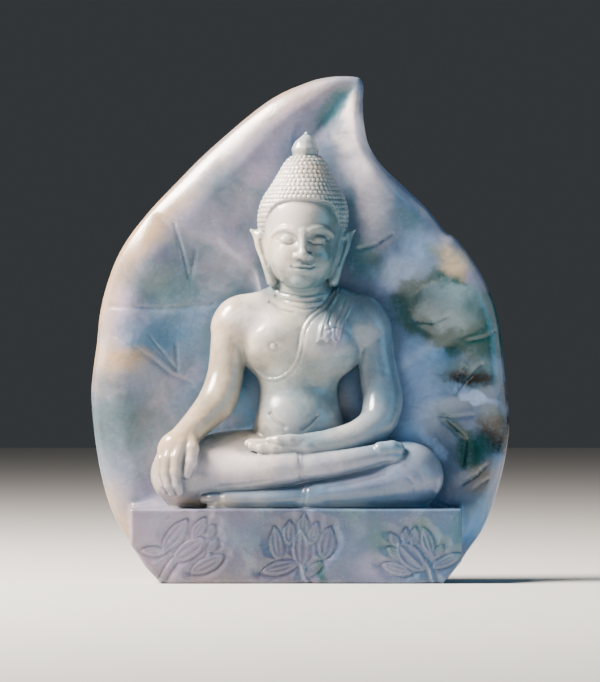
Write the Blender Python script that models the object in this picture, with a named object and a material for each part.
"""Jade figurine: a seated figure carved in high relief on a flame-shaped slab, above a plain plinth.

The real object is one carved stone. Each carved region of it is its own solid here, with a thin gap to its
neighbours. The model stands on Z = 0 and faces -Y. Tables of places are in millimetres, and every mesh is
built in metres.
"""

import math

import bmesh
import bpy
from mathutils import Vector

MM = 0.001

# Driving dimensions, in millimetres
HEIGHT = 180.0
DEPTH = 46.0
GAP = 0.3
PLINTH_TOP = 26.3
SLAB_FRONT = 11.0
RIM_FRONT = 14.2
RIM_BACK = 20.6
BASE_OVERLAP = 8.0

FRONT_Y = -DEPTH / 2
BACK_Y = DEPTH / 2
FRONT = Vector((0, -1, 0))

SLAB_SMOOTH = 3
LIMB_SIDES = 16
LIMB_SPANS = 3
CAP_RINGS = 3

# The slab's outline seen from the front, anticlockwise from the lower right, as (x, z). It runs below the
# base plane so that the cut there leaves a flat foot.
SLAB_OUTLINE = (
    (47, -BASE_OVERLAP), (57, 6), (66.5, 20), (72, 37), (75, 57), (73, 77), (71.5, 90), (67.5, 104),
    (59.5, 117), (47, 131), (34, 143), (25.5, 154), (23, 164), (22.8, 175), (20.5, 179.4), (14, HEIGHT),
    (3, 178), (-12, 171), (-32, 154.5), (-54, 132), (-67, 112), (-72.5, 91), (-74.8, 66), (-72.5, 44),
    (-68, 26), (-59, 8), (-48, -BASE_OVERLAP),
)
SLAB_CENTRE = (0.0, 70.0)

# Rings of the slab from the middle of its front face over the rim to the middle of its back: the share of
# the outline's reach from the centre, and the depth.
SLAB_RINGS = (
    (0.45, SLAB_FRONT), (0.78, SLAB_FRONT + 0.6), (0.93, SLAB_FRONT + 1.7), (0.98, RIM_FRONT),
    (1.0, (RIM_FRONT + RIM_BACK) / 2), (0.98, RIM_BACK), (0.9, BACK_Y - 1.0), (0.7, BACK_Y), (0.4, BACK_Y),
)

# The plinth's front face, as (x, z)
PLINTH_OUTLINE = (
    (-49, 0), (-54.5, 6), (-59.8, 14), (-59.8, PLINTH_TOP), (57, PLINTH_TOP), (57, 8), (50.5, 0),
)
PLINTH_BEVEL = 0.9

# Stations of the rounded forms, each (x, y, z, half width across, half depth)
TORSO = (
    (0.5, 3, 36, 20, 10.5), (0, 3.2, 48, 17.5, 10.5), (-0.2, 3.5, 60, 14.6, 10.2), (-0.4, 3.5, 69, 13.6, 10.2),
    (-0.5, 3, 80, 18.6, 12), (-0.5, 3, 89, 20.5, 11.8), (0, 3.2, 95, 18.5, 10), (0.5, 2.8, 99.5, 9.5, 8),
    (0.8, 2, 104, 7.6, 7.6),
)
HEAD = (
    (1, -4, 106, 7, 7.2), (1, -3, 110, 10.2, 10.2), (1, -2.2, 117, 12.2, 12), (1, -1.6, 126, 12.8, 12.7),
    (1, -1, 132, 11.6, 11.6), (1, 0, 136, 8, 8),
)
RIGHT_EAR = ((-13.9, 2.2, 123, 3.6, 2), (-12.2, 1.8, 116, 3.2, 2), (-10.2, 1.2, 108, 2, 1.7))
LEFT_EAR = tuple((2 - x, y, z, across, deep) for x, y, z, across, deep in RIGHT_EAR)
HAIR = (
    (1, 5, 122, 15.4, 8.4), (1, 2, 128.5, 16.4, 12.2), (1, 1.2, 134, 15.6, 13.2), (1, 1.6, 139, 12.8, 11.8),
    (1, 2, 144, 9.4, 9.2), (1, 2, 148, 6.8, 6.8),
)
FINIAL = ((1.6, 2, 150.5, 3.8, 3.8), (1.8, 2, 153.4, 5, 5), (1.9, 2, 156.4, 3, 3), (1.9, 2, 158.2, 1.1, 1.1))
RIGHT_ARM = (
    (-21.5, 3.2, 93, 6.6, 7.6), (-25.4, 3, 88.5, 7.2, 7.6), (-26.8, 2.5, 80, 6.6, 7), (-28, 1, 67.5, 6.6, 6.8), (-33, -4, 60, 5.6, 6),
    (-40, -11.5, 53, 4.8, 4.8), (-44.4, -16.3, 44, 7, 4.4), (-44.2, -18.6, 33, 5.6, 3),
)
LEFT_ARM = (
    (22, 3.2, 93, 6.6, 7.6), (26, 3, 88.5, 7.2, 7.6), (27.8, 2.5, 80, 6.6, 7), (29.4, 1, 66.5, 6.8, 6.8), (24, -5.5, 57, 5.8, 6),
    (11, -12, 51, 4.2, 4.4), (-2, -14.2, 49.3, 4.8, 3.6), (-15, -14.8, 48.6, 3.4, 2.4),
)
RIGHT_THIGH = ((-10, 4, 44, 9.6, 9.6), (-26, 0, 43, 10, 10), (-41, -5.5, 38.4, 10.4, 10.6))
RIGHT_SHIN = ((-41, -6.5, 38, 9.6, 9.6), (-22, -12.5, 38.6, 7.4, 7), (-3.5, -15, 41.4, 5.6, 5.6))
LEFT_THIGH = ((10, 4, 43, 9.6, 9.6), (26, 0, 42, 10, 10), (41, -5.5, 38, 10.6, 10.6))
LEFT_SHIN = ((41, -6.5, 37.4, 9.8, 9.8), (22, -12.5, 33.4, 6.6, 7), (4.5, -14.5, 31.4, 4.6, 5.4))
RIGHT_FOOT = ((2.5, -15.6, 42, 4.9, 5), (18, -15, 44.4, 4.4, 4.6), (33.5, -12.6, 46, 3.8, 4.2))
LEFT_FOOT = ((-1.5, -15, 31.2, 4.3, 5), (-15, -16, 30.9, 4, 4.8), (-27.5, -16.6, 30.4, 3.4, 3.8))
SASH = ((13.5, -0.5, 98.6, 5, 1.7), (12.6, -4.9, 95, 5, 1.7), (11.4, -7.4, 89.5, 4.6, 1.6), (10.4, -8.4, 85, 4, 1.4))

JADE = (0.60, 0.64, 0.64, 1.0)
PALE_JADE = (0.68, 0.70, 0.70, 1.0)
VEINED_JADE = (0.50, 0.56, 0.58, 1.0)
POLISHED = 0.25


def clear_scene():
    for obj in list(bpy.data.objects):
        bpy.data.objects.remove(obj)


def stone(name, colour):
    """A polished stone material."""
    material = bpy.data.materials.new(name)
    material.use_nodes = True
    shader = material.node_tree.nodes["Principled BSDF"]
    shader.inputs["Base Color"].default_value = colour
    shader.inputs["Roughness"].default_value = POLISHED
    shader.inputs["Metallic"].default_value = 0.0
    return material


def smooth_through(points, spans, closed=False):
    """Points of a Catmull-Rom curve through points, with spans steps between each two."""
    points = [Vector(p) for p in points]
    count = len(points)
    found = []
    for i in range(count if closed else count - 1):
        if closed:
            a, b, c, d = (points[(i + k) % count] for k in (-1, 0, 1, 2))
        else:
            b, c = points[i], points[i + 1]
            a = points[i - 1] if i else 2 * b - c
            d = points[i + 2] if i + 2 < count else 2 * c - b
        for step in range(spans):
            t = step / spans
            found.append(0.5 * (2 * b + (c - a) * t + (2 * a - 5 * b + 4 * c - d) * t**2
                                + (3 * b - a - 3 * c + d) * t**3))
    return found if closed else found + [points[-1]]


def skinned(rings, first_pole, last_pole):
    """A closed bmesh over rings of equal length, with a pole at each end. Everything is in millimetres."""
    bm = bmesh.new()
    made = [[bm.verts.new(Vector(p) * MM) for p in ring] for ring in rings]
    poles = [bm.verts.new(Vector(p) * MM) for p in (first_pole, last_pole)]
    count = len(made[0])
    for j in range(count):
        k = (j + 1) % count
        bm.faces.new((poles[0], made[0][k], made[0][j]))
        bm.faces.new((poles[1], made[-1][j], made[-1][k]))
        for low, high in zip(made, made[1:]):
            bm.faces.new((low[j], low[k], high[k], high[j]))
    bmesh.ops.recalc_face_normals(bm, faces=bm.faces)
    return bm


def rounded_form(stations, grow=0.0):
    """A closed, round-ended form lofted through stations, fattened all over by grow."""
    path = smooth_through([Vector((*s[:3],)) for s in stations], LIMB_SPANS)
    widths = smooth_through([Vector((s[3], s[4], 0)) for s in stations], LIMB_SPANS)
    rings = []
    last = len(path) - 1

    def ring_at(centre, along, across, deep):
        side = along.cross(FRONT).normalized()
        out = side.cross(along).normalized()
        angles = [2 * math.pi * j / LIMB_SIDES for j in range(LIMB_SIDES)]
        return [centre + side * across * math.cos(a) + out * deep * math.sin(a) for a in angles]

    def cap(index, along, outward):
        """Rings of the domed end at a station, from the station outwards, and the pole."""
        across, deep = widths[index][0] + grow, widths[index][1] + grow
        reach = min(across, deep)
        made = []
        for k in range(1, CAP_RINGS):
            turn = math.pi / 2 * k / CAP_RINGS
            centre = path[index] + along * outward * reach * math.sin(turn)
            made.append(ring_at(centre, along, across * math.cos(turn), deep * math.cos(turn)))
        return made, path[index] + along * outward * reach

    start_along = (path[1] - path[0]).normalized()
    end_along = (path[last] - path[last - 1]).normalized()
    start_rings, start_pole = cap(0, start_along, -1)
    end_rings, end_pole = cap(last, end_along, 1)
    for i, centre in enumerate(path):
        along = (path[min(i + 1, last)] - path[max(i - 1, 0)]).normalized()
        rings.append(ring_at(centre, along, widths[i][0] + grow, widths[i][1] + grow))
    return skinned(start_rings[::-1] + rings + end_rings, start_pole, end_pole)


def slab_form(grow=0.0):
    """The flame-shaped slab. Growing it moves its front face forward."""
    outline = smooth_through([Vector((*p, 0)) for p in SLAB_OUTLINE], SLAB_SMOOTH, closed=True)
    centre_x, centre_z = SLAB_CENTRE
    middle = (RIM_FRONT + RIM_BACK) / 2
    rings = []
    for share, y in SLAB_RINGS:
        depth = y - grow if y < middle else y
        rings.append([(centre_x + (p.x - centre_x) * share, depth, centre_z + (p.y - centre_z) * share)
                      for p in outline])
    return skinned(rings, (centre_x, SLAB_FRONT - grow, centre_z), (centre_x, BACK_Y, centre_z))


def plinth_form(grow=0.0):
    """The plinth block. Growing it raises its top face."""
    bm = bmesh.new()
    corners = [(x, z + grow if z == PLINTH_TOP else z) for x, z in PLINTH_OUTLINE]
    front = [bm.verts.new(Vector((x, FRONT_Y, z)) * MM) for x, z in corners]
    face = bm.faces.new(front)
    extruded = bmesh.ops.extrude_face_region(bm, geom=[face])
    moved = [v for v in extruded["geom"] if isinstance(v, bmesh.types.BMVert)]
    bmesh.ops.translate(bm, verts=moved, vec=Vector((0, RIM_FRONT - FRONT_Y, 0)) * MM)
    bmesh.ops.recalc_face_normals(bm, faces=bm.faces)
    return bm


def block_form(low, high):
    """A box between two corners."""
    bm = bmesh.new()
    bmesh.ops.create_cube(bm, size=1.0)
    low, high = Vector(low) * MM, Vector(high) * MM
    for v in bm.verts:
        v.co = Vector([low[i] + (v.co[i] + 0.5) * (high[i] - low[i]) for i in range(3)])
    return bm


def as_object(name, bm, material=None):
    mesh = bpy.data.meshes.new(name)
    bm.to_mesh(mesh)
    bm.free()
    mesh.shade_smooth()
    mesh.set_sharp_from_angle(angle=math.radians(40))
    obj = bpy.data.objects.new(name, mesh)
    bpy.context.scene.collection.objects.link(obj)
    if material:
        mesh.materials.append(material)
    return obj


def as_cutter(name, bm):
    """A guide object that other objects' Booleans read. It isn't part of the figurine."""
    obj = as_object(name, bm)
    obj.hide_render = True
    obj.display_type = "WIRE"
    return obj


def boolean(obj, other, operation="DIFFERENCE"):
    modifier = obj.modifiers.new(f"{operation.lower()} {other.name}", "BOOLEAN")
    modifier.operation = operation
    modifier.object = other
    modifier.solver = "EXACT"


def bevel(obj, width):
    modifier = obj.modifiers.new("edge", "BEVEL")
    modifier.width = width * MM
    modifier.segments = 2
    modifier.limit_method = "ANGLE"
    modifier.angle_limit = math.radians(50)


def joined_form(name, tables, grow=0.0):
    """One object over several rounded forms that meet, as a Boolean union."""
    first = as_object(name, rounded_form(tables[0], grow))
    for number, table in enumerate(tables[1:], start=1):
        boolean(first, as_cutter(f"{name}_join_{number}", rounded_form(table, grow)), "UNION")
    return first


def region(name, tables, material, cut_by):
    """A carved region, cut back by the regions that lie before it, and a grown copy for those that lie after."""
    obj = joined_form(name, tables)
    obj.data.materials.append(material)
    grown = joined_form(f"{name}_grown", tables, GAP)
    grown.hide_render = True
    grown.display_type = "WIRE"
    for cutter in cut_by:
        boolean(obj, cutter)
    return grown


def build():
    clear_scene()
    figure = stone("pale_jade", PALE_JADE)
    veined = stone("veined_jade", VEINED_JADE)
    base = stone("jade", JADE)

    below = as_cutter("below_base", block_form((-100, -60, -40), (100, 60, 0)))
    slab = as_object("backing_slab", slab_form(), veined)
    boolean(slab, below)
    slab_grown = as_cutter("slab_grown", slab_form(GAP))

    plinth = as_object("plinth", plinth_form(), base)
    bevel(plinth, PLINTH_BEVEL)
    boolean(plinth, slab_grown)
    plinth_grown = as_cutter("plinth_grown", plinth_form(GAP))

    torso = region("torso", [TORSO], figure, [slab_grown, plinth_grown])
    head = region("head", [HEAD, RIGHT_EAR, LEFT_EAR], figure, [slab_grown, torso])
    hair = region("hair", [HAIR], figure, [slab_grown, head])
    region("hair_finial", [FINIAL], figure, [slab_grown, hair])

    ground = [slab_grown, plinth_grown, torso]
    right_leg = region("right_leg", [RIGHT_THIGH, RIGHT_SHIN], figure, ground)
    right_foot = region("right_foot", [RIGHT_FOOT], figure, ground + [right_leg])
    left_leg = region("left_leg", [LEFT_THIGH, LEFT_SHIN], figure, ground + [right_leg, right_foot])
    left_foot = region("left_foot", [LEFT_FOOT], figure, ground + [right_leg, right_foot, left_leg])

    legs = [right_leg, right_foot, left_leg, left_foot]
    region("right_arm", [RIGHT_ARM], figure, ground + legs)
    left_arm = region("left_arm", [LEFT_ARM], figure, ground + legs)
    region("shoulder_sash", [SASH], figure, [slab_grown, torso, head, left_arm])


build()
